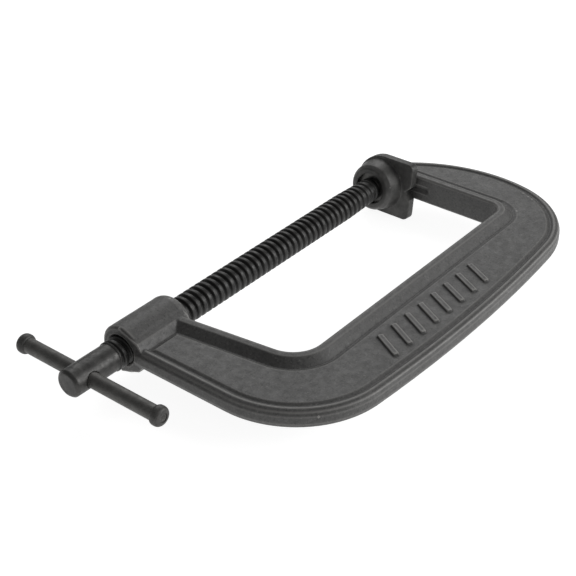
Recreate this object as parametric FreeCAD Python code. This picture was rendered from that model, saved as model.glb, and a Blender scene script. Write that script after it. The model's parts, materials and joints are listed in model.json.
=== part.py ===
"""Eight inch C clamp with a swivel pad, lying on its side and almost closed.

Row frame, in millimetres: the origin is the centre of the anvil face, on the screw's axis.
+X runs along the screw from the handle to the anvil, the spine is at -Y, and +Z is up.
The pad stands about 2 mm off the anvil, so that each jaw face has room for a thin plate.
"""
import FreeCAD, Part
import math
import os

# ---- driving dimensions -------------------------------------------------------------------
THROAT = 95.2             # screw axis to the spine's inner face
FLANGE_HALF = 9.9         # half thickness of the C at the flange's crest
EDGE_HALF = 8.9           # half height of the flange's flat inner face
RIM_HALF = 6.3            # half thickness of the outer rim
WEB_HALF = 4.2            # half thickness in the hollows beside flange and rim
PANEL_HALF = 6.0          # half thickness of the raised panel between the hollows

BOSS_OUT_X = -274.6       # outer end of the threaded boss
BOSS_IN_X = -227.2        # inner end of the threaded boss
BOSS_R = 15.6
BOSS_BEVEL = 1.8
BOSS_ROUND = 8.0          # rounding of the inner end
BOSS_NOSE_R = 11.0        # radius where the rounding meets the inner end
BORE_R = 9.6              # the thread's running bore
BORE_LEAD = 1.2           # lead-in chamfer at both ends of the bore
SHOULDER_X = -232.0       # the shoulders that carry the boss end here
SHOULDER_TOP_Y = 1.0      # they leave the boss here, just inside its radius
SHOULDER_SINK = 0.03
SHOULDER_BEND_Y = -14.0   # they are level with the flange here
SHOULDER_TOE_Y = -18.5    # and level with the web here

ARM_OUT_X = -275.9        # outer face of the screw's arm
ARM_TOP_Y = -11.5         # where the arm dies into the boss
ARM_IN_TOP_X = -235.4     # inner face of the screw's arm beside the boss
ARM_IN_TOE_X = -224.0     # the same face, carried down to the spine
NEAR_CORNER_R = 20.0
FAR_CORNER_R = 10.0

NEAR_BEND_R = 64.4        # outer bends, as arcs that run into each other
FAR_BEND_R = 70.6
FAR_ARM_R = 101.7
SPINE_BOW_R = 1108.0
SPINE_BOW_X = -122.0      # where the spine's outer face stands out furthest
SPINE_OUT_Y = -149.3
FAR_BEND_X = -26.1
FAR_ARM_TURN = 166.0      # direction from the far bend's centre to the far arm's centre, degrees
TIP_Y = 13.8              # top of the tip, where the outer face ends
ANVIL_TOP_Y = 11.5        # the anvil face ends here, above the screw's axis

CREST_IN = 1.5            # flange crest, measured in from the inner face
CREST_OUT = 5.0
CREST_FALL = 0.2          # how far the crest falls towards its outer edge
HOLLOW_IN = 12.0          # bottom of the hollow beside the flange
PANEL_IN = 14.0           # edge of the panel beside the flange
RIM_ROUND = 3.8
RIM_FLAT = 4.6
RIM_IN = 7.2              # foot of the rim in the outer hollow
PANEL_OUT = 9.2           # edge of the panel beside the rim
PANEL_RISE = 3.6          # run of the panel's sloping edges
PANEL_NEAR_Y = -21.0      # ends of the panel on the two arms
PANEL_FAR_Y = -12.0
CROWN_IN = 4.0            # bevel that keeps the crest inside the tip

BALL_X = -14.2            # centre of the swivel ball
BALL_R = 8.0
BALL_GAP = 0.3            # ball to socket, and ball to keeper ring
BALL_FLAT = 5.9           # flat on the ball's back, from its centre
SPIGOT_R = 3.3
RUNNING = 0.05            # radial clearance of the turning fits
RIVET_R = 4.4
RIVET_IN = 3.8            # rivet head, from the ball's centre
RIVET_OUT = 6.2
NECK_R = 5.3
THREAD_R = 9.5            # thread's major radius
THREAD_END_R = 8.3        # the thread fades to this radius at its front end
THREAD_FADE_X = -55.0     # where it starts to fade
THREAD_END = 7.0          # thread's front end, from the ball's centre
THREAD_START_X = -283.0
THREAD_BEVEL = 1.4
HEAD_R = 8.9
HEAD_END_X = -317.2
HEAD_BEVEL = 1.6

PAD_TILT = 6.0            # the pad droops by this angle, in degrees
PAD_FACE = 11.0           # clamping face, from the ball's centre
PAD_THICK = 6.6
PAD_R = 21.4              # half the plate's height, and the radius of its round side
PAD_ROUND_Y = -2.0        # centre of the round side
PAD_SQUARE = 26.4         # screw axis to the plate's square side, towards the spine
PAD_CORNER = 4.5
PAD_NOTCH = 4.8           # V notch in the middle of the square side
HUB_BASE_R = 19.0
HUB_BODY_R = 16.8
HUB_MOUTH_R = 14.6
HUB_SHOULDER = 6.0        # the hub narrows to its mouth from here, behind the ball's centre
HUB_MOUTH = 8.8           # mouth of the hub, behind the ball's centre
MOUTH_R = 11.2
RING_R = 12.0
RING_FRONT = 2.4          # keeper ring, behind the ball's centre
RING_BACK = 5.2
RING_GAP = 0.3

HANDLE_X = -304.6
HANDLE_MID_Y = -5.4       # the handle rests slid a little towards the spine
HANDLE_HALF = 57.5
ROD_R = 4.8
ROD_FIT = 0.08
KNOB_R = 6.3
KNOB_LONG = 6.4
KNOB_EASE_IN = 1.2        # bevels on the knob's inner and outer edges
KNOB_EASE_OUT = 2.4
STUB_R = 3.2              # the rod's turned-down ends inside the knobs
STUB_LONG = 5.2
STUB_FIT = 0.02
DIMPLE_R = 1.8            # dimple left by staking in each end of the rod
DIMPLE_DEEP = 1.3
STAKE_IN = 0.4            # the staked ends stop this far inside the knobs' faces

BAR_COUNT = 8             # raised slanted bars cast on the panel of the spine
BAR_FIRST_X = -180.0
BAR_STEP = 14.3
BAR_LONG = 21.0
BAR_HALF_W = 1.9
BAR_HIGH = 1.7
BAR_LEAN = 62.0           # degrees from +X
BAR_MID_Y = -124.5

PAST = 1.0                # cuts and joins run on past a face by this much

AXIS_X = FreeCAD.Vector(1, 0, 0)
AXIS_Y = FreeCAD.Vector(0, 1, 0)
AXIS_Z = FreeCAD.Vector(0, 0, 1)
ORIGIN = FreeCAD.Vector(0, 0, 0)


# ---- small helpers ------------------------------------------------------------------------
def vec(x, y, z=0.0):
    return FreeCAD.Vector(x, y, z)


def polar(centre, radius, degrees):
    angle = math.radians(degrees)
    return centre + vec(radius * math.cos(angle), radius * math.sin(angle))


def heading(start, end):
    """Direction from one point to another, in degrees."""
    return math.degrees(math.atan2(end.y - start.y, end.x - start.x))


def arc(centre, radius, start, end):
    """Arc about a centre between two directions given in degrees."""
    middle = polar(centre, radius, (start + end) / 2)
    return Part.Arc(polar(centre, radius, start), middle, polar(centre, radius, end)).toShape()


def line(start, end):
    return Part.LineSegment(start, end).toShape()


def prism(points, along):
    """Solid from a closed polygon pushed along a vector."""
    return Part.Face(Part.makePolygon(points + points[:1])).extrude(along)


def turned(points, centre_x):
    """Solid of revolution about the X axis from (x, radius) points given from a centre."""
    outline = [vec(centre_x + x, radius) for x, radius in points]
    return Part.Face(Part.makePolygon(outline + outline[:1])).revolve(ORIGIN, AXIS_X, 360)


def tube(radius, low_x, high_x):
    return Part.makeCylinder(radius, high_x - low_x, vec(low_x, 0, 0), AXIS_X)


def save(name, shape):
    shape.exportStep(f"parts/{name}.step")


# ---- outline of the C in plan -------------------------------------------------------------
def rounded(corner, before, after, radius):
    """Arc that rounds a corner, with the points where it leaves the two sides."""
    towards = (before - corner).normalize()
    away = (after - corner).normalize()
    half = towards.getAngle(away) / 2
    centre = corner + (towards + away).normalize() * (radius / math.sin(half))
    start = corner + towards * (radius / math.tan(half))
    end = corner + away * (radius / math.tan(half))
    middle = centre + (corner - centre).normalize() * radius
    return start, end, Part.Arc(start, middle, end).toShape()


def arm_inner_x(y, depth=0.0):
    """Inner face of the screw's arm at a height on the arm, moved into the metal."""
    slope = (ARM_IN_TOE_X - ARM_IN_TOP_X) / (ARM_TOP_Y + THROAT)
    return ARM_IN_TOP_X + (ARM_TOP_Y - y) * slope - depth * math.hypot(1, slope)


def inner_edges(depth=0.0, near_y=ARM_TOP_Y, tip_y=ANVIL_TOP_Y):
    """Inner faces of the C from the boss round to the anvil, moved into the metal."""
    low_y = -THROAT - depth
    top = vec(arm_inner_x(near_y, depth), near_y)
    near = vec(arm_inner_x(low_y, depth), low_y)
    far = vec(depth, low_y)
    tip = vec(depth, tip_y)
    near_start, near_end, near_arc = rounded(near, top, far, NEAR_CORNER_R + depth)
    far_start, far_end, far_arc = rounded(far, near, tip, FAR_CORNER_R + depth)
    return [line(top, near_start), near_arc, line(near_end, far_start), far_arc, line(far_end, tip)]


def bend_centres():
    """Centres of the outer arcs: spine bow, near bend, far bend and far arm."""
    bow = vec(SPINE_BOW_X, SPINE_OUT_Y + SPINE_BOW_R)
    near_x = ARM_OUT_X + NEAR_BEND_R
    near_drop = math.sqrt((SPINE_BOW_R - NEAR_BEND_R) ** 2 - (near_x - bow.x) ** 2)
    far_drop = math.sqrt((SPINE_BOW_R - FAR_BEND_R) ** 2 - (FAR_BEND_X - bow.x) ** 2)
    far = vec(FAR_BEND_X, bow.y - far_drop)
    arm = polar(far, FAR_ARM_R - FAR_BEND_R, FAR_ARM_TURN)
    return bow, vec(near_x, bow.y - near_drop), far, arm


def outer_edges(inset=0.0, near_y=ARM_TOP_Y, tip_y=TIP_Y):
    """Outer faces of the C, from the boss round to the tip, moved into the metal."""
    bow, near, far, arm = bend_centres()
    near_turn = heading(bow, near)
    far_turn = heading(bow, far)
    arm_turn = FAR_ARM_TURN - 180
    arm_r = FAR_ARM_R - inset
    tip_turn = math.degrees(math.asin((tip_y - arm.y) / arm_r))
    near_r = NEAR_BEND_R - inset
    return [
        line(vec(ARM_OUT_X + inset, near_y), polar(near, near_r, -180)),
        arc(near, near_r, -180, near_turn),
        arc(bow, SPINE_BOW_R - inset, near_turn, far_turn),
        arc(far, FAR_BEND_R - inset, far_turn, arm_turn),
        arc(arm, arm_r, arm_turn, tip_turn),
    ]


def closed(outer, inner, z):
    """Closed wire from the outer and inner edges, at a height."""
    near = line(outer[0].valueAt(outer[0].FirstParameter), inner[0].valueAt(inner[0].FirstParameter))
    tip = line(outer[-1].valueAt(outer[-1].LastParameter), inner[-1].valueAt(inner[-1].LastParameter))
    wire = Part.Wire(Part.__sortEdges__(outer + [tip] + inner[::-1] + [near]))
    wire.translate(vec(0, 0, z))
    return wire


def plan_wire(inset=0.0, z=0.0):
    """Outline of the C at a height, with the outer side and the tip moved inwards."""
    return closed(outer_edges(inset, tip_y=TIP_Y - inset), inner_edges(tip_y=ANVIL_TOP_Y - inset), z)


def panel_wire(grow, z):
    """Outline of the raised panel, grown outwards, at a height."""
    near_y = PANEL_NEAR_Y + grow
    far_y = PANEL_FAR_Y + grow
    outer = outer_edges(PANEL_OUT - grow, near_y, far_y)
    return closed(outer, inner_edges(PANEL_IN - grow, near_y, far_y), z)


def swept(section, edges):
    """Solid from a section of (depth, height) points that follows a run of edges.

    Depth is measured into the metal, to the right of the run's first direction."""
    first = edges[0]
    start = first.valueAt(first.FirstParameter)
    ahead = first.tangentAt(first.FirstParameter)
    inward = ahead.cross(AXIS_Z)
    points = [start + inward * depth + AXIS_Z * height for depth, height in section]
    profile = Part.makePolygon(points + points[:1])
    return Part.Wire(edges).makePipeShell([profile], True, False)


# ---- frame --------------------------------------------------------------------------------
def mirrored(half):
    """Closed section from its upper half of (across, height) points."""
    return half + [(across, -height) for across, height in reversed(half)]


def envelope():
    """Everything the flange may fill, with a bevelled outer edge."""
    slab = Part.Face(plan_wire(0, -RIM_HALF)).extrude(vec(0, 0, 2 * RIM_HALF))
    upper = Part.makeLoft([plan_wire(0, RIM_HALF), plan_wire(CROWN_IN, FLANGE_HALF)], True, True)
    lower = Part.makeLoft([plan_wire(0, -RIM_HALF), plan_wire(CROWN_IN, -FLANGE_HALF)], True, True)
    return slab.fuse([upper, lower])


def flange():
    """Thick flange round the inside of the C, sloping down to the web."""
    half = [(0, EDGE_HALF), (CREST_IN, FLANGE_HALF), (CREST_OUT, FLANGE_HALF - CREST_FALL)]
    return swept(mirrored(half + [(HOLLOW_IN, WEB_HALF)]), inner_edges())


def rim():
    """Narrow rounded rim round the outside of the C."""
    low = RIM_HALF - RIM_ROUND
    bend = RIM_ROUND * (1 - math.sqrt(0.5))
    half = [(0, low), (bend, RIM_HALF - bend), (RIM_ROUND, RIM_HALF)]
    half += [(RIM_FLAT, RIM_HALF), (RIM_IN, WEB_HALF)]
    return swept([(-depth, height) for depth, height in mirrored(half)], outer_edges())


def web():
    return Part.Face(plan_wire(RIM_ROUND, -WEB_HALF)).extrude(vec(0, 0, 2 * WEB_HALF))


def panel():
    """Raised panel between the two hollows, on both faces of the web."""
    wires = [panel_wire(0, -PANEL_HALF), panel_wire(PANEL_RISE, -WEB_HALF)]
    wires += [panel_wire(PANEL_RISE, WEB_HALF), panel_wire(0, PANEL_HALF)]
    return Part.makeLoft(wires, True, True)


def shoulders():
    """Sloping shoulders that carry the round boss down into the arm."""
    half = [(SHOULDER_TOP_Y, BOSS_R - SHOULDER_SINK)]
    half += [(SHOULDER_BEND_Y, FLANGE_HALF), (SHOULDER_TOE_Y, WEB_HALF)]
    outline = [vec(BOSS_OUT_X, y, z) for y, z in mirrored(half)]
    return prism(outline, vec(SHOULDER_X - BOSS_OUT_X, 0, 0))


def boss():
    """Round boss with a bevelled outer end and a well rounded inner end."""
    start = vec(BOSS_IN_X - BOSS_ROUND, BOSS_R)
    end = vec(BOSS_IN_X, BOSS_NOSE_R)
    lean = math.radians(45)
    middle = vec(start.x + BOSS_ROUND * math.sin(lean), end.y + (BOSS_R - end.y) * math.cos(lean))
    points = [end, vec(BOSS_IN_X, 0), vec(BOSS_OUT_X, 0), vec(BOSS_OUT_X, BOSS_R - BOSS_BEVEL)]
    points += [vec(BOSS_OUT_X + BOSS_BEVEL, BOSS_R), start]
    edges = [line(one, two) for one, two in zip(points, points[1:])]
    edges.append(Part.Arc(start, middle, end).toShape())
    return Part.Face(Part.Wire(edges)).revolve(ORIGIN, AXIS_X, 360)


def bore():
    """The screw's hole through the boss, with a lead-in at each end."""
    length = BOSS_IN_X - BOSS_OUT_X
    wide = BORE_R + BORE_LEAD + PAST
    points = [(-PAST, 0), (-PAST, wide), (BORE_LEAD, BORE_R), (length - BORE_LEAD, BORE_R)]
    points += [(length + PAST, wide), (length + PAST, 0)]
    return turned(points, BOSS_OUT_X)


def raised_bar(index):
    """One slanted bar on each side of the web."""
    middle = vec(BAR_FIRST_X + index * BAR_STEP, BAR_MID_Y)
    high = PANEL_HALF + BAR_HIGH
    box = Part.makeBox(BAR_LONG, 2 * BAR_HALF_W, 2 * high, vec(-BAR_LONG / 2, -BAR_HALF_W, -high))
    box.rotate(ORIGIN, AXIS_Z, BAR_LEAN)
    box.translate(middle)
    return box


def frame():
    raised = flange().common(envelope())
    bars = [raised_bar(index) for index in range(BAR_COUNT)]
    body = web().fuse([raised, rim(), panel(), shoulders(), boss()] + bars)
    return body.cut(bore()).removeSplitter()


# ---- screw and its swivel ball ------------------------------------------------------------
def screw():
    """Head with a cross hole, thread at its major diameter, neck, and riveted spigot."""
    start = HEAD_END_X - BALL_X
    thread = THREAD_START_X - BALL_X
    points = [
        (start, 0),
        (start, HEAD_R - HEAD_BEVEL),
        (start + HEAD_BEVEL, HEAD_R),
        (thread, HEAD_R),
        (thread + THREAD_R - HEAD_R, THREAD_R),
        (THREAD_FADE_X - BALL_X, THREAD_R),
        (-THREAD_END - THREAD_BEVEL, THREAD_END_R),
        (-THREAD_END, THREAD_END_R - THREAD_BEVEL),
        (-THREAD_END, NECK_R),
        (-BALL_FLAT - RUNNING, NECK_R),
        (-BALL_FLAT - RUNNING, SPIGOT_R),
        (RIVET_IN + RUNNING, SPIGOT_R),
        (RIVET_IN + RUNNING, RIVET_R),
        (RIVET_OUT, RIVET_R),
        (RIVET_OUT, 0),
    ]
    hole = Part.makeCylinder(ROD_R + ROD_FIT, 4 * HEAD_R, vec(HANDLE_X, -2 * HEAD_R, 0), AXIS_Y)
    return turned(points, BALL_X).cut(hole)


def swivel_ball():
    """Ball that turns on the screw's spigot, with a flat back against the neck."""
    ball = Part.makeSphere(BALL_R, vec(BALL_X, 0, 0))
    back = Part.makeBox(BALL_R, 2 * BALL_R, 2 * BALL_R)
    back.translate(vec(BALL_X - BALL_FLAT - BALL_R, -BALL_R, -BALL_R))
    through = tube(SPIGOT_R + RUNNING, BALL_X - 2 * BALL_R, BALL_X + 2 * BALL_R)
    seat = tube(RIVET_R + RUNNING, BALL_X + RIVET_IN, BALL_X + 2 * BALL_R)
    return ball.cut([back, through, seat])


# ---- pad and keeper ring, made square to the screw and then drooped -----------------------
def droop(shape):
    """Let a piece droop about the ball's centre."""
    shape.rotate(vec(BALL_X, 0, 0), AXIS_Y, PAD_TILT)
    return shape


def pad_plate():
    """Plate that is round on one side and square, with a V notch, on the spine's side."""
    back_x = BALL_X + PAD_FACE - PAD_THICK
    along = vec(PAD_THICK, 0, 0)
    width = PAD_SQUARE + PAD_ROUND_Y
    block = Part.makeBox(PAD_THICK, width, 2 * PAD_R, vec(back_x, -PAD_SQUARE, -PAD_R))
    edges = [edge for edge in block.Edges if abs(edge.tangentAt(edge.FirstParameter).x) > 0.9]
    corners = [edge for edge in edges if edge.BoundBox.YMax < -PAD_SQUARE / 2]
    block = block.makeFillet(PAD_CORNER, corners)
    disc = Part.makeCylinder(PAD_R, PAD_THICK, vec(back_x, PAD_ROUND_Y, 0), AXIS_X)
    deep = vec(back_x, PAD_NOTCH - PAD_SQUARE, 0)
    wide = PAD_NOTCH + PAST
    notch = prism([deep, deep + vec(0, -wide, wide), deep + vec(0, -wide, -wide)], along)
    return block.fuse(disc).cut(notch)


def pad_casting():
    """Plate and hub in one casting, with the ball's socket and the ring's groove."""
    base = PAD_FACE - PAD_THICK + PAST
    points = [(-HUB_MOUTH, 0), (-HUB_MOUTH, HUB_MOUTH_R), (-HUB_SHOULDER, HUB_BODY_R)]
    hub = turned(points + [(base, HUB_BASE_R), (base, 0)], BALL_X)
    socket = Part.makeSphere(BALL_R + BALL_GAP, vec(BALL_X, 0, 0))
    mouth = tube(MOUTH_R, BALL_X - 2 * HUB_MOUTH, BALL_X - RING_BACK)
    groove_front = BALL_X - RING_FRONT + RING_GAP
    groove_back = BALL_X - RING_BACK - RING_GAP
    groove = tube(RING_R + RING_GAP, groove_back, groove_front)
    return droop(pad_plate().fuse(hub).cut([socket, mouth, groove]).removeSplitter())


def pad_retaining_ring():
    """Ring with a spherical bore that keeps the pad on the ball."""
    ring = tube(RING_R, BALL_X - RING_BACK, BALL_X - RING_FRONT)
    return droop(ring.cut(Part.makeSphere(BALL_R + BALL_GAP, vec(BALL_X, 0, 0))))


# ---- sliding handle -----------------------------------------------------------------------
def along_handle(points):
    """Solid of revolution about the handle's axis from (y, radius) points."""
    outline = [vec(HANDLE_X + radius, HANDLE_MID_Y + y) for y, radius in points]
    face = Part.Face(Part.makePolygon(outline + outline[:1]))
    return face.revolve(vec(HANDLE_X, 0, 0), AXIS_Y, 360)


def handle_rod():
    """Straight rod whose turned-down ends are staked over in the knobs."""
    shoulder = HANDLE_HALF - STUB_LONG
    end = HANDLE_HALF - STAKE_IN
    half = [(0, ROD_R), (shoulder, ROD_R), (shoulder, STUB_R), (end, STUB_R)]
    half += [(end, DIMPLE_R), (end - DIMPLE_DEEP, 0)]
    other_half = [(-y, radius) for y, radius in reversed(half)]
    return along_handle(other_half + half[1:])


def handle_knob(side):
    """Round knob pressed on one end of the rod."""
    inner = HANDLE_HALF - KNOB_LONG
    seat = HANDLE_HALF - STUB_LONG + STUB_FIT
    points = [
        (inner, ROD_R + STUB_FIT),
        (inner, KNOB_R - KNOB_EASE_IN),
        (inner + KNOB_EASE_IN, KNOB_R),
        (HANDLE_HALF - KNOB_EASE_OUT, KNOB_R),
        (HANDLE_HALF, KNOB_R - KNOB_EASE_OUT),
        (HANDLE_HALF, STUB_R + STUB_FIT),
        (seat, STUB_R + STUB_FIT),
        (seat, ROD_R + STUB_FIT),
    ]
    return along_handle([(side * y, radius) for y, radius in points])


def main():
    os.makedirs("parts", exist_ok=True)
    save("frame", frame())
    save("screw", screw())
    save("swivel_ball", swivel_ball())
    save("pad_retaining_ring", pad_retaining_ring())
    save("pad_casting", pad_casting())
    save("handle_rod", handle_rod())
    save("handle_knob_front", handle_knob(-1))
    save("handle_knob_rear", handle_knob(1))


main()
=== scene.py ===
"""C clamp lying on its side: the look of each piece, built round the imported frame.

Row frame, in metres: the origin is the middle of the anvil face, +X runs along the screw towards
the anvil, the spine is at -Y, and +Z is up.
"""

import json
import math

import bmesh
import bpy
import numpy as np
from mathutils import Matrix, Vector


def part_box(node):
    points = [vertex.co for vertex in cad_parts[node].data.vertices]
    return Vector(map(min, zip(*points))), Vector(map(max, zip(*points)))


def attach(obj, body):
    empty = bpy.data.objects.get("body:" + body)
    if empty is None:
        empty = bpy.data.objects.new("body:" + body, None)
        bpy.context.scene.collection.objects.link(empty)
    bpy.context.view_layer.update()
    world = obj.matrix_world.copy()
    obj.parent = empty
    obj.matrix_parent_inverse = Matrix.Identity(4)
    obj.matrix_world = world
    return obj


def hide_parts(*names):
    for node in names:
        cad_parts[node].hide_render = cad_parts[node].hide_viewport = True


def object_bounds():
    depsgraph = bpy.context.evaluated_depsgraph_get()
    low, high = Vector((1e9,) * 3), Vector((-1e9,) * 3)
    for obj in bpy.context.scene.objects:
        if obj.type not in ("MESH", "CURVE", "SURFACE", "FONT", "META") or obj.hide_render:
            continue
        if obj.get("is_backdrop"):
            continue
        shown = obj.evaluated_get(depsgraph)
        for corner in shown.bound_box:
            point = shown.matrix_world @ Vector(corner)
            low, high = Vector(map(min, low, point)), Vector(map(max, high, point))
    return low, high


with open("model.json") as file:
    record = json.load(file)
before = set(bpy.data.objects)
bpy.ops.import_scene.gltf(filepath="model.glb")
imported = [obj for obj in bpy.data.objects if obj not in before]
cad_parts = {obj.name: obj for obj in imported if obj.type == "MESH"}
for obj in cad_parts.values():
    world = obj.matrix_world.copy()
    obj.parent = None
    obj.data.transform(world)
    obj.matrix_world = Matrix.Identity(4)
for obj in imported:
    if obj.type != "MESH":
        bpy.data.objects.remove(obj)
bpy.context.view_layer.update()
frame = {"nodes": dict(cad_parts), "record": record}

MM = 0.001
TINY = 1e-6               # keeps a division from meeting zero
BEHAVIOUR = frame["record"]["behaviour"]
COUPLING = BEHAVIOUR["couplings"][0]

# ---- mesh making ---------------------------------------------------------------------------
WELD = 0.001              # millimetres; points nearer than this are one point
LATHE_SIDES = 64
CORNER_STEPS = 8
SMOOTH_BELOW = 35         # degrees; sharper edges stay sharp

# ---- the camera's place and angle of view, in metres and degrees ---------------------------
CAMERA_AT = (-0.67406, -0.44419, 0.42844)
CAMERA_TURN = 38.569      # degrees from +X towards +Y
CAMERA_DOWN = 33.133      # degrees below the horizon
CAMERA_LENS = 77.44

# ---- the stage, in metres ------------------------------------------------------------------
FLOOR_HALF = 12.0
LIGHT_TARGET = (-0.13, -0.05, 0)
SKY_STRENGTH = 0.22

# ---- the screw, in millimetres -------------------------------------------------------------
THREAD_R = 9.5            # crest radius
THREAD_DEEP = 1.9
THREAD_START = -283.0
THREAD_RUN_OUT = 2.5      # the groove deepens over this length from its start
THREAD_FADE = -55.0       # the crests fall away from here to the front end
THREAD_END = -21.2
THREAD_END_R = 8.3
FLANK_GAIN = 2.9          # steepness of the thread's flanks
FLANK_SHIFT = 1.15        # width of its crests
LEAD = 2 * math.pi / COUPLING["ratio"] / MM
THREAD_ROWS_PER_TURN = 16
THREAD_SIDES = 72
HEAD_OVERLAP = 1.2        # the head and the nose reach this far into the thread
NOSE_OVERLAP = 0.4
HEAD_VOXEL = 0.45
HEAD_ROUNDS = 3
NOSE_VOXEL = 0.3
NOSE_ROUNDS = 1

# ---- the handle, in millimetres ------------------------------------------------------------
ROD_R = 4.8
STUB_R = 3.2              # turned-down ends of the rod, staked in the knobs
STUB_LONG = 5.2
STUB_FIT = 0.02
STAKE_IN = 0.4            # the rod stops this far inside the knobs' faces
DIMPLE_R = 1.8
DIMPLE_DEEP = 1.3
KNOB_EASE_IN = 2.4        # rounding of the knob towards the rod
KNOB_EASE_OUT = 3.4

# ---- the pad and its swivel ball, in millimetres -------------------------------------------
PAD_VOXEL = 0.45
PAD_ROUNDS = 4
BALL_R = 8.0
BALL_FLAT = 5.75          # flat back, from the ball's centre
BALL_BORE_R = 3.6
BALL_SEAT_R = 4.7         # recess for the rivet head
BALL_SEAT_IN = 3.6
BALL_ARC_STEPS = 24

# ---- the frame, in millimetres -------------------------------------------------------------
FRAME_VOXEL = 0.50
FRAME_ROUNDS = 8
BORE_R = 9.8
BORE_MARGIN = 1.0         # before the boss's near end
BORE_END_X = -220.0
ANVIL_FACE = (-0.6, 1.0)  # x of the points that make up the anvil face
GROOVE_HALF = 3.2         # the shallow V across the anvil face
GROOVE_DEEP = 1.3
GROOVE_LOW_Y = -36.0
GROOVE_RUN_OUT = 3.0


# ---- meshes --------------------------------------------------------------------------------
def add_object(name, mesh):
    piece = bpy.data.objects.new(name, mesh)
    bpy.context.scene.collection.objects.link(piece)
    return piece


def smooth_shaded(mesh):
    mesh.polygons.foreach_set("use_smooth", np.ones(len(mesh.polygons), dtype=bool))
    mesh.update()


def evaluated_mesh(piece, name):
    """The piece's mesh with its modifiers applied, as a new mesh."""
    depsgraph = bpy.context.evaluated_depsgraph_get()
    mesh = bpy.data.meshes.new_from_object(piece.evaluated_get(depsgraph))
    mesh.name = name
    return mesh


def copied_mesh(node):
    """A copy of a CAD node's mesh with its seams closed."""
    mesh = frame["nodes"][node].data.copy()
    work = bmesh.new()
    work.from_mesh(mesh)
    bmesh.ops.remove_doubles(work, verts=work.verts, dist=WELD * MM)
    work.to_mesh(mesh)
    work.free()
    mesh.materials.clear()
    return mesh


def as_cast(mesh, name, voxel, rounds):
    """The shape remade in small even faces with its edges rounded, as a casting has them."""
    piece = add_object(name, mesh)
    remesh = piece.modifiers.new("even_faces", "REMESH")
    remesh.mode = "VOXEL"
    remesh.voxel_size = voxel * MM
    remesh.adaptivity = 0.0
    soften = piece.modifiers.new("soft_edges", "SMOOTH")
    soften.factor = 0.5
    soften.iterations = rounds
    piece.data = evaluated_mesh(piece, name)
    piece.modifiers.clear()
    bpy.data.meshes.remove(mesh)
    return piece


def points_of(mesh):
    points = np.empty(len(mesh.vertices) * 3)
    mesh.vertices.foreach_get("co", points)
    return points.reshape(-1, 3)


def set_points(mesh, points, node):
    """Moves the mesh's points, none of them out of the CAD node's box."""
    low, high = (np.array(corner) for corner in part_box(node))
    mesh.vertices.foreach_set("co", np.clip(points, low, high).ravel())
    smooth_shaded(mesh)


def grid_faces(rows, sides):
    """Quads of a tube that is closed round its sides and open at its two ends."""
    row, side = np.meshgrid(np.arange(rows - 1), np.arange(sides), indexing="ij")
    after = (side + 1) % sides
    here, beyond = row * sides, (row + 1) * sides
    corners = [here + side, here + after, beyond + after, beyond + side]
    return np.stack(corners, axis=-1).reshape(-1, 4)


def lathe(name, outline, start, axis):
    """A turned piece from (along, radius) points in millimetres, about an axis through a point."""
    axis = Vector(axis).normalized()
    across = axis.orthogonal().normalized()
    up = axis.cross(across)
    work = bmesh.new()
    rings = []
    for along, radius in outline:
        centre = Vector(start) + axis * along * MM
        if radius <= 0:
            rings.append([work.verts.new(centre)])
            continue
        ring = []
        for side in range(LATHE_SIDES):
            turn = 2 * math.pi * side / LATHE_SIDES
            outward = across * math.cos(turn) + up * math.sin(turn)
            ring.append(work.verts.new(centre + outward * radius * MM))
        rings.append(ring)
    # an outline that starts off the axis is a loop, and one that starts on it ends on it
    following = rings[1:] + rings[:1] if outline[0][1] > 0 else rings[1:]
    for one, two in zip(rings, following):
        for side in range(LATHE_SIDES):
            after = (side + 1) % LATHE_SIDES
            corners = [one[side % len(one)], one[after % len(one)]]
            corners += [two[after % len(two)], two[side % len(two)]]
            work.faces.new(list(dict.fromkeys(corners)))
    bmesh.ops.recalc_face_normals(work, faces=work.faces)
    mesh = bpy.data.meshes.new(name)
    work.to_mesh(mesh)
    work.free()
    return add_object(name, mesh)


def rounded_outline(corners):
    """Outline with its corners rounded: (along, radius, rounding) to (along, radius) points."""
    points = []
    for index, (along, radius, rounding) in enumerate(corners):
        here = Vector((along, radius))
        if rounding <= 0:
            points.append(tuple(here))
            continue
        before = Vector(corners[index - 1][:2])
        after = Vector(corners[(index + 1) % len(corners)][:2])
        start = here + (before - here).normalized() * rounding
        end = here + (after - here).normalized() * rounding
        for step in range(CORNER_STEPS + 1):
            t = step / CORNER_STEPS
            bend = start * (1 - t) ** 2 + here * 2 * t * (1 - t) + end * t ** 2
            points.append(tuple(bend))
    return points


def shade_by_angle(piece):
    """Smooth shading that keeps the sharp edges sharp."""
    context = {"object": piece, "active_object": piece, "selected_editable_objects": [piece]}
    with bpy.context.temp_override(**context):
        bpy.ops.object.shade_smooth_by_angle(angle=math.radians(SMOOTH_BELOW))


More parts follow.
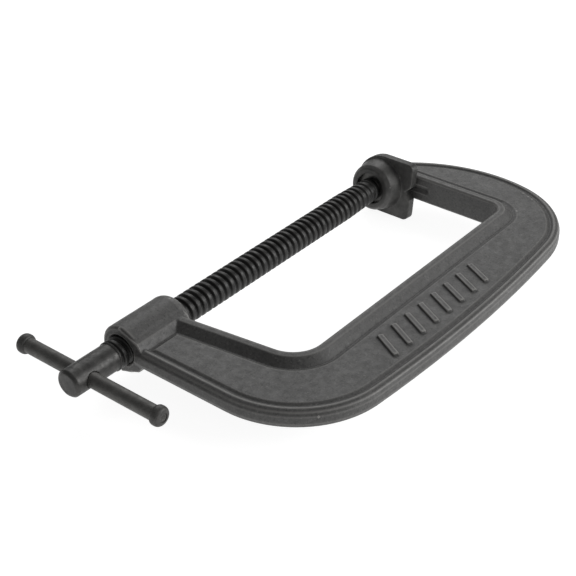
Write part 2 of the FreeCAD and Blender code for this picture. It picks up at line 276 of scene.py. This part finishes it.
# ---- materials -----------------------------------------------------------------------------
class Material:
    """A node material built up one link at a time, on the piece's own coordinates."""

    def __init__(self, name, metallic, specular):
        self.data = bpy.data.materials.new(name)
        self.data.use_nodes = True
        self.tree = self.data.node_tree
        self.shader = self.tree.nodes["Principled BSDF"]
        self.shader.inputs["Metallic"].default_value = metallic
        self.shader.inputs["Specular IOR Level"].default_value = specular
        self.place = self.tree.nodes.new("ShaderNodeTexCoord").outputs["Object"]

    def link(self, output, socket):
        self.tree.links.new(output, socket)

    def noise(self, per_metre, detail, roughness, stretch=(1, 1, 1)):
        mapping = self.tree.nodes.new("ShaderNodeMapping")
        mapping.inputs["Scale"].default_value = stretch
        self.link(self.place, mapping.inputs["Vector"])
        node = self.tree.nodes.new("ShaderNodeTexNoise")
        node.inputs["Scale"].default_value = per_metre
        node.inputs["Detail"].default_value = detail
        node.inputs["Roughness"].default_value = roughness
        self.link(mapping.outputs["Vector"], node.inputs["Vector"])
        return node.outputs["Fac"]

    def along_x(self):
        node = self.tree.nodes.new("ShaderNodeSeparateXYZ")
        self.link(self.place, node.inputs["Vector"])
        return node.outputs["X"]

    def span(self, value, low, high, to_low, to_high):
        """A value carried from one range to another."""
        node = self.tree.nodes.new("ShaderNodeMapRange")
        numbers = {"From Min": low, "From Max": high, "To Min": to_low, "To Max": to_high}
        for socket, number in numbers.items():
            node.inputs[socket].default_value = number
        self.link(value, node.inputs["Value"])
        return node.outputs["Result"]

    def mix(self, amount, one, two):
        """Two colours mixed; each is a colour or another node's output."""
        node = self.tree.nodes.new("ShaderNodeMix")
        node.data_type = "RGBA"
        self.link(amount, node.inputs["Factor"])
        for socket, colour in ((node.inputs[6], one), (node.inputs[7], two)):
            if isinstance(colour, tuple):
                socket.default_value = (*colour, 1)
            else:
                self.link(colour, socket)
        return node.outputs[2]

    def edges(self, low, high):
        """1 on sharp outer edges and 0 elsewhere, from the shape's own curvature."""
        pointed = self.tree.nodes.new("ShaderNodeNewGeometry").outputs["Pointiness"]
        return self.span(pointed, low, high, 0, 1)

    def painted_hollow_shade(self, low, high):
        """1 in sharp inner corners and 0 elsewhere, for the painted shade that falls there."""
        pointed = self.tree.nodes.new("ShaderNodeNewGeometry").outputs["Pointiness"]
        return self.span(pointed, low, high, 1, 0)

    def bump(self, height, strength, distance_mm):
        node = self.tree.nodes.new("ShaderNodeBump")
        node.inputs["Strength"].default_value = strength
        node.inputs["Distance"].default_value = distance_mm * MM
        previous = self.shader.inputs["Normal"].links
        if previous:
            self.link(previous[0].from_socket, node.inputs["Normal"])
        self.link(height, node.inputs["Height"])
        self.link(node.outputs["Normal"], self.shader.inputs["Normal"])

    def colour(self, value):
        self.link(value, self.shader.inputs["Base Color"])

    def roughness(self, value):
        self.link(value, self.shader.inputs["Roughness"])


def cast_iron():
    """Grey painted sand casting: fine sand grain, slow blotches, painted highlights on the sharp
    edges and painted shade in the sharp inner corners.
    """
    made = Material("cast_iron_grey", 0.0, 0.5)
    blotches = made.span(made.noise(38, 5, 0.6), 0.35, 0.65, 0, 1)
    grain = made.noise(620, 5, 0.7)
    base = made.mix(blotches, (0.050, 0.049, 0.0475), (0.066, 0.065, 0.063))
    pits = made.span(grain, 0.50, 0.64, 0, 0.8)
    base = made.mix(pits, base, (0.024, 0.0235, 0.023))
    glints = made.span(made.noise(700, 4, 0.65), 0.56, 0.68, 0, 0.55)
    base = made.mix(glints, base, (0.130, 0.128, 0.124))
    # painted shade: the sharp inner corners darkened
    base = made.mix(made.painted_hollow_shade(0.450, 0.495), base, (0.014, 0.0137, 0.013))
    # painted highlight: the sharp outer edges painted lighter, where the light catches them
    wear_and_highlight = made.edges(0.503, 0.524)
    made.colour(made.mix(wear_and_highlight, base, (0.190, 0.186, 0.179)))
    made.roughness(made.span(made.noise(210, 5, 0.6), 0.3, 0.7, 0.46, 0.62))
    made.bump(made.noise(95, 4, 0.55), 0.35, 0.6)
    made.bump(grain, 0.55, 0.22)
    return made.data


def dark_steel(name, dark, light, scale, rough, bare_below=None):
    """Oil blackened steel with a little bare metal showing on its edges.

    Below bare_below, an x in metres, most of the blacking has been handled off.
    """
    made = Material(name, 0.75 if bare_below is None else 0.45, 0.5)
    film = made.span(made.noise(scale, 5, 0.65), 0.35, 0.68, 0, 1)
    base = made.mix(film, dark, light)
    if bare_below is not None:
        handled = made.span(made.along_x(), bare_below - MM, bare_below + MM, 1, 0)
        # real wear: the colour where the blacking has been handled off
        wear_and_highlight = made.mix(film, (0.026, 0.0255, 0.0245), (0.064, 0.0625, 0.060))
        base = made.mix(handled, base, wear_and_highlight)
    bare = made.edges(0.52, 0.60)
    worn = tuple(min(1.0, 2.6 * part) for part in light)
    made.colour(made.mix(bare, base, worn))
    patches = made.noise(scale * 2.3, 4, 0.6)
    made.roughness(made.span(patches, 0.3, 0.7, rough - 0.09, rough + 0.12))
    made.bump(made.noise(900, 3, 0.6), 0.3, 0.07)
    return made.data


def pad_iron():
    """Blackened casting: rougher sand grain than the frame's."""
    made = Material("pad_iron", 0.3, 0.45)
    film = made.span(made.noise(110, 5, 0.65), 0.35, 0.65, 0, 1)
    base = made.mix(film, (0.034, 0.0336, 0.0325), (0.072, 0.0708, 0.068))
    made.colour(made.mix(made.edges(0.52, 0.60), base, (0.12, 0.118, 0.112)))
    made.roughness(made.span(made.noise(300, 4, 0.6), 0.3, 0.7, 0.40, 0.58))
    made.bump(made.noise(140, 4, 0.55), 0.4, 0.5)
    made.bump(made.noise(1300, 3, 0.6), 0.4, 0.12)
    return made.data


def drawn_steel(name, dark, light, along, rough):
    """Bare bar dulled by handling: mottled, with faint drawing lines along one axis."""
    made = Material(name, 0.4, 0.5)
    mottle = made.span(made.noise(170, 6, 0.7), 0.32, 0.68, 0, 1)
    base = made.mix(mottle, dark, light)
    stains = made.span(made.noise(60, 4, 0.6), 0.52, 0.68, 0, 0.6)
    base = made.mix(stains, base, (0.035, 0.034, 0.032))
    bare = made.edges(0.55, 0.64)
    made.colour(made.mix(bare, base, tuple(1.15 * part for part in light)))
    stretch = tuple(0.04 if axis == along else 1.0 for axis in range(3))
    lines = made.noise(2200, 2, 0.5, stretch)
    patches = made.noise(260, 4, 0.6)
    made.roughness(made.span(patches, 0.3, 0.7, rough - 0.08, rough + 0.10))
    made.bump(made.noise(420, 4, 0.6), 0.3, 0.12)
    made.bump(lines, 0.25, 0.04)
    return made.data


def light_table():
    """Pale floor that glows a little, so that shadows on it stay faint."""
    made = Material("light_table", 0.0, 0.2)
    fibre = made.span(made.noise(30, 4, 0.5), 0.3, 0.7, 0, 1)
    made.colour(made.mix(fibre, (0.33, 0.33, 0.33), (0.35, 0.35, 0.35)))
    made.shader.inputs["Emission Color"].default_value = (1, 1, 1, 1)
    made.shader.inputs["Emission Strength"].default_value = 0.90
    made.roughness(made.span(made.noise(90, 3, 0.5), 0.3, 0.7, 0.85, 0.95))
    return made.data


# ---- frame ---------------------------------------------------------------------------------
def frame_casting(material):
    piece = as_cast(copied_mesh("frame"), "frame_casting", FRAME_VOXEL, FRAME_ROUNDS)
    points = points_of(piece.data) / MM
    x, y, z = points.T
    # the bore stays round and clear of the thread
    radius = np.hypot(y, z)
    boss_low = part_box("frame")[0][0] / MM
    in_bore = (radius < BORE_R) & (x > boss_low - BORE_MARGIN) & (x < BORE_END_X)
    push = np.where(in_bore, BORE_R / np.maximum(radius, TINY), 1.0)
    y, z = y * push, z * push
    # shallow V across the anvil face
    groove = np.clip(1 - np.abs(z) / GROOVE_HALF, 0, 1) * GROOVE_DEEP
    groove *= np.clip((y - GROOVE_LOW_Y) / GROOVE_RUN_OUT, 0, 1)
    on_anvil = (x > ANVIL_FACE[0]) & (x < ANVIL_FACE[1]) & (y > GROOVE_LOW_Y)
    x = np.where(on_anvil, x + groove, x)
    set_points(piece.data, np.stack([x, y, z], axis=-1) * MM, "frame")
    piece.data.materials.append(material)
    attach(piece, "frame")
    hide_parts("frame")


# ---- screw ---------------------------------------------------------------------------------
def thread_radius(x, turn):
    """Radius of a rounded trapezoid thread at a place along and round the screw."""
    phase = (x / LEAD - turn / (2 * math.pi)) % 1.0
    ramp = np.clip((0.5 - np.abs(phase - 0.5)) / 0.5 * FLANK_GAIN - FLANK_SHIFT, 0, 1)
    ridge = ramp * ramp * (3 - 2 * ramp)
    faded = np.clip((x - THREAD_FADE) / (THREAD_END - THREAD_FADE), 0, 1)
    crest = THREAD_R - (THREAD_R - THREAD_END_R) * faded
    root = THREAD_R - THREAD_DEEP
    run_out = np.clip((x - THREAD_START) / THREAD_RUN_OUT, 0, 1)
    return root * run_out + crest * (1 - run_out) + (crest - root) * run_out * (1 - ridge)


def thread_mesh():
    rows = int((THREAD_END - THREAD_START) / LEAD * THREAD_ROWS_PER_TURN)
    along = np.linspace(THREAD_START, THREAD_END, rows)
    turn = np.linspace(0, 2 * math.pi, THREAD_SIDES, endpoint=False)
    x, turns = np.meshgrid(along, turn, indexing="ij")
    radius = thread_radius(x, turns)
    points = np.stack([x, radius * np.cos(turns), radius * np.sin(turns)], axis=-1).reshape(-1, 3)
    last = (rows - 1) * THREAD_SIDES
    caps = [list(range(THREAD_SIDES)), list(range(last + THREAD_SIDES - 1, last - 1, -1))]
    mesh = bpy.data.meshes.new("screw_thread")
    faces = grid_faces(rows, THREAD_SIDES).tolist() + caps
    mesh.from_pydata((points * MM).tolist(), [], faces)
    return mesh


def cut_end(name, at_x, keep_low, voxel, rounds):
    """One end of the screw's CAD solid, cut off square and given soft edges."""
    mesh = copied_mesh("screw")
    work = bmesh.new()
    work.from_mesh(mesh)
    geometry = work.verts[:] + work.edges[:] + work.faces[:]
    cut = bmesh.ops.bisect_plane(
        work, geom=geometry, plane_co=(at_x * MM, 0, 0), plane_no=(1, 0, 0),
        clear_outer=keep_low, clear_inner=not keep_low)
    edges = [item for item in cut["geom_cut"] if isinstance(item, bmesh.types.BMEdge)]
    bmesh.ops.contextual_create(work, geom=edges)
    work.to_mesh(mesh)
    work.free()
    return as_cast(mesh, name, voxel, rounds)


def joined(name, pieces):
    """One piece from several that overlap each other."""
    work = bmesh.new()
    for piece in pieces:
        work.from_mesh(piece.data)
        bpy.data.objects.remove(piece)
    mesh = bpy.data.meshes.new(name)
    bmesh.ops.recalc_face_normals(work, faces=work.faces)
    work.to_mesh(mesh)
    work.free()
    return add_object(name, mesh)


def screw(material):
    head = cut_end("screw_head", THREAD_START + HEAD_OVERLAP, True, HEAD_VOXEL, HEAD_ROUNDS)
    nose = cut_end("screw_nose", THREAD_END - NOSE_OVERLAP, False, NOSE_VOXEL, NOSE_ROUNDS)
    thread = add_object("screw_thread", thread_mesh())
    piece = joined("screw_threaded", [head, thread, nose])
    set_points(piece.data, points_of(piece.data), "screw")
    piece.data.materials.append(material)
    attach(piece, "screw")
    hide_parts("screw")


# ---- pad and ball --------------------------------------------------------------------------
def pad(material):
    piece = as_cast(copied_mesh("pad_casting"), "pad_cast", PAD_VOXEL, PAD_ROUNDS)
    set_points(piece.data, points_of(piece.data), "pad_casting")
    piece.data.materials.append(material)
    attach(piece, "pad")
    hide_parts("pad_casting")


def ball(material):
    """Ball with a flat back, a bore for the spigot and a recess for the rivet head."""
    tilt = next(joint for joint in BEHAVIOUR["joints"] if joint["name"] == "pad_tilt")
    first = math.acos(-BALL_FLAT / BALL_R)
    last = math.asin(BALL_SEAT_R / BALL_R)
    outline = [(-BALL_FLAT, BALL_BORE_R)]
    for step in range(BALL_ARC_STEPS + 1):
        angle = first + (last - first) * step / BALL_ARC_STEPS
        outline.append((BALL_R * math.cos(angle), BALL_R * math.sin(angle)))
    outline += [(BALL_SEAT_IN, BALL_SEAT_R), (BALL_SEAT_IN, BALL_BORE_R)]
    piece = lathe("turned_swivel_ball", outline, tilt["pos_m"], (1, 0, 0))
    shade_by_angle(piece)
    piece.data.materials.append(material)
    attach(piece, "ball")
    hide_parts("swivel_ball")


# ---- handle --------------------------------------------------------------------------------
def rod(material):
    """Straight bar with its staked ends dimpled."""
    low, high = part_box("handle_rod")
    long = (high[1] - low[1]) / MM
    shoulder = STUB_LONG - STAKE_IN
    half = [(DIMPLE_DEEP, 0), (0, DIMPLE_R), (0, STUB_R), (shoulder, STUB_R), (shoulder, ROD_R)]
    outline = half + [(long - along, radius) for along, radius in reversed(half)]
    middle = ((low[0] + high[0]) / 2, low[1], (low[2] + high[2]) / 2)
    piece = lathe("round_handle_rod", outline, middle, (0, 1, 0))
    shade_by_angle(piece)
    piece.data.materials.append(material)
    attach(piece, "handle")
    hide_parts("handle_rod")


def knob(node, outward, material):
    """Round knob with soft shoulders; outward is the side of the rod that it is on."""
    low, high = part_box(node)
    long = (high[1] - low[1]) / MM
    radius = (high[2] - low[2]) / 2 / MM
    seat = long - STUB_LONG + STUB_FIT
    outline = rounded_outline([
        (0, ROD_R + STUB_FIT, 0),
        (0, radius, KNOB_EASE_IN),
        (long, radius, KNOB_EASE_OUT),
        (long, STUB_R + STUB_FIT, 0),
        (seat, STUB_R + STUB_FIT, 0),
        (seat, ROD_R + STUB_FIT, 0),
    ])
    inner_y = low[1] if outward > 0 else high[1]
    middle = ((low[0] + high[0]) / 2, inner_y, (low[2] + high[2]) / 2)
    piece = lathe("rounded_" + node, outline, middle, (0, outward, 0))
    shade_by_angle(piece)
    piece.data.materials.append(material)
    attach(piece, "handle")
    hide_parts(node)


# ---- the node that keeps its CAD shape -----------------------------------------------------
def dress(node, material):
    shown = frame["nodes"][node]
    shown.data.materials.clear()
    shown.data.materials.append(material)


# ---- stage ---------------------------------------------------------------------------------
def floor(material):
    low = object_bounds()[0]
    mesh = bpy.data.meshes.new("floor")
    around = ((-1, -1), (1, -1), (1, 1), (-1, 1))
    corners = [(x * FLOOR_HALF, y * FLOOR_HALF, low.z) for x, y in around]
    mesh.from_pydata(corners, [], [(0, 1, 2, 3)])
    mesh.materials.append(material)
    add_object("floor", mesh)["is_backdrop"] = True


def soft_light(name, place, size, watts):
    data = bpy.data.lights.new(name, "AREA")
    data.shape = "RECTANGLE"
    data.size, data.size_y = size
    data.energy = watts
    lamp = bpy.data.objects.new(name, data)
    lamp.location = place
    lamp.rotation_mode = "QUATERNION"
    lamp.rotation_quaternion = (Vector(LIGHT_TARGET) - Vector(place)).to_track_quat("-Z", "Y")
    bpy.context.scene.collection.objects.link(lamp)


def studio():
    world = bpy.data.worlds.new("studio")
    world.use_nodes = True
    sky = world.node_tree.nodes["Background"]
    sky.inputs["Color"].default_value = (1.0, 1.0, 1.0, 1)
    sky.inputs["Strength"].default_value = SKY_STRENGTH
    bpy.context.scene.world = world
    bpy.context.scene.view_settings.view_transform = "Standard"
    soft_light("key_softbox", (0.85, 0.75, 1.05), (1.3, 1.0), 11)
    soft_light("front_softbox", (0.70, -1.25, 0.60), (1.2, 0.8), 20)


def camera():
    data = bpy.data.cameras.new("camera")
    data.lens = CAMERA_LENS
    eye = bpy.data.objects.new("camera", data)
    turn = math.radians(CAMERA_TURN)
    down = math.radians(CAMERA_DOWN)
    level = math.cos(down)
    ahead = Vector((level * math.cos(turn), level * math.sin(turn), -math.sin(down)))
    eye.location = CAMERA_AT
    eye.rotation_mode = "QUATERNION"
    eye.rotation_quaternion = ahead.to_track_quat("-Z", "Y")
    bpy.context.scene.collection.objects.link(eye)
    bpy.context.scene.camera = eye


# ---- making --------------------------------------------------------------------------------
camera()
studio()
frame_casting(cast_iron())
screw(dark_steel("blackened_steel", dark=(0.011, 0.011, 0.0107), light=(0.027, 0.0265, 0.0255),
                 scale=190, rough=0.44, bare_below=THREAD_START * MM))
pad(pad_iron())
ball(dark_steel("ball_steel", dark=(0.05, 0.05, 0.048), light=(0.11, 0.108, 0.104),
                scale=220, rough=0.34))
dress("pad_retaining_ring", dark_steel("ring_steel", dark=(0.012, 0.012, 0.0117),
                                       light=(0.030, 0.0295, 0.0285), scale=200, rough=0.4))
handle_steel = drawn_steel("handle_steel", dark=(0.038, 0.037, 0.035),
                           light=(0.105, 0.103, 0.098), along=1, rough=0.54)
knob_steel = drawn_steel("knob_steel", dark=(0.030, 0.0295, 0.028),
                         light=(0.080, 0.078, 0.075), along=0, rough=0.52)
rod(handle_steel)
knob("handle_knob_front", -1, knob_steel)
knob("handle_knob_rear", 1, knob_steel)
floor(light_table())
